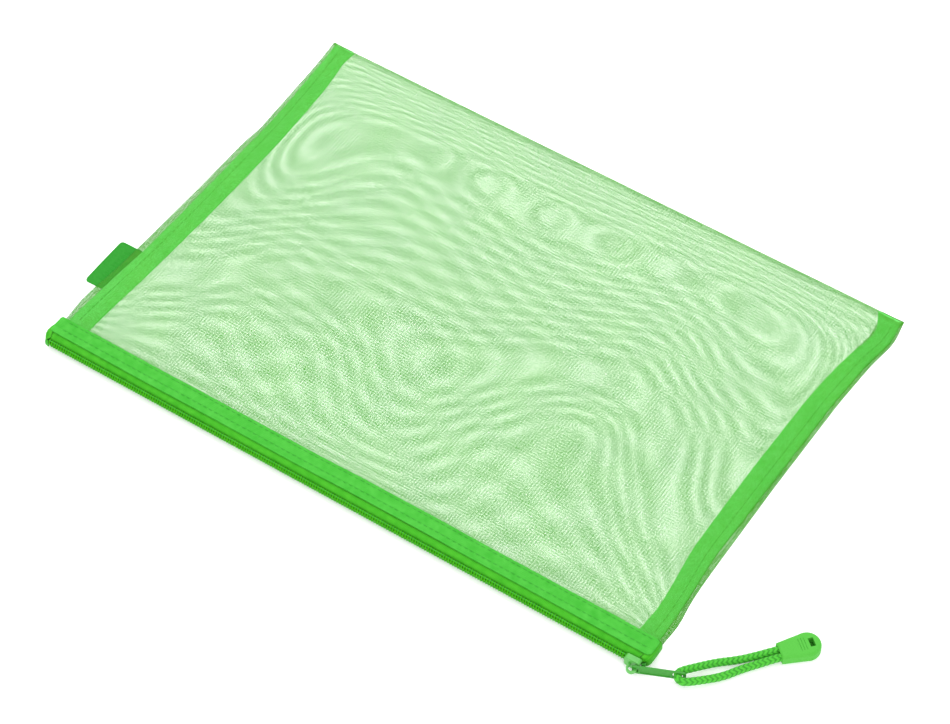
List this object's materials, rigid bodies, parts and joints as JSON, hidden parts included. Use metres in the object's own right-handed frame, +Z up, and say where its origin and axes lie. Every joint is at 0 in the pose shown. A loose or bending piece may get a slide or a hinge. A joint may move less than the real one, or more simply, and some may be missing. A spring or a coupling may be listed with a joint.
{
  "type": "mesh document wallet",
  "caption": "Flat zipped document wallet of see-through woven mesh with bound side seams, a coil zip along one long edge and a braided cord pull.",
  "frame": {"origin": "middle of the underside, where the wallet rests on the table", "axes": "+X along the zip towards its closed end, +Y from the zip to the back fold, +Z up"},
  "size_m": [0.4077, 0.2455, 0.0087],
  "materials": {
    "mesh": "open plain-woven monofilament",
    "binding": "ribbed tape",
    "ribbon": "ribbed tape",
    "zip_tape": "woven zip tape",
    "thread": "spun thread",
    "coil": "extruded nylon",
    "label": "satin",
    "slider": "gloss enamel",
    "cord": "braided",
    "grip": "soft matte"
  },
  "bodies": {
    "pouch": {"mesh_sleeve": "mesh", "left_seam_binding": "binding", "right_seam_binding": "binding", "left_seam_stitches": "thread", "right_seam_stitches": "thread", "upper_mouth_ribbon": "ribbon", "lower_mouth_ribbon": "ribbon", "upper_mouth_stitches": "thread", "lower_mouth_stitches": "thread", "upper_zip_tape": "zip_tape", "lower_zip_tape": "zip_tape", "upper_zip_coil": "coil", "lower_zip_coil": "coil", "upper_coil_core": "thread", "lower_coil_core": "thread", "left_end_tack": "thread", "right_end_tack": "thread", "side_label": "label"},
    "slider": {"slider_body": "slider", "slider_bail": "slider"},
    "pull": {"pull_tab": "slider"},
    "cord": {"pull_cord": "cord", "cord_end": "grip"}
  },
  "joints": [
    {"name": "slider_slide", "type": "slide", "parent": "pouch", "child": "slider", "axis": [1, 0, 0], "range_m": [-0.3256, 0], "deforming": ["upper_zip_coil", "lower_zip_coil", "upper_coil_core", "lower_coil_core", "upper_zip_tape", "lower_zip_tape", "cord_end"]},
    {"name": "pull_swing", "type": "hinge", "parent": "slider", "child": "pull", "pos_m": [0.164, -0.1231, 0.00425], "axis": [0, 0, 1], "range_deg": [-202, 0]},
    {"name": "cord_swing", "type": "hinge", "parent": "pull", "child": "cord", "pos_m": [0.18593, -0.11334, 0.00425], "axis": [0, 0, 1], "range_deg": [-100, 25], "deforming": ["pull_cord"]}
  ],
  "couplings": [
    {"joint": "pull_swing", "follows": "slider_slide", "rad_per_m": 10.8}
  ]
}
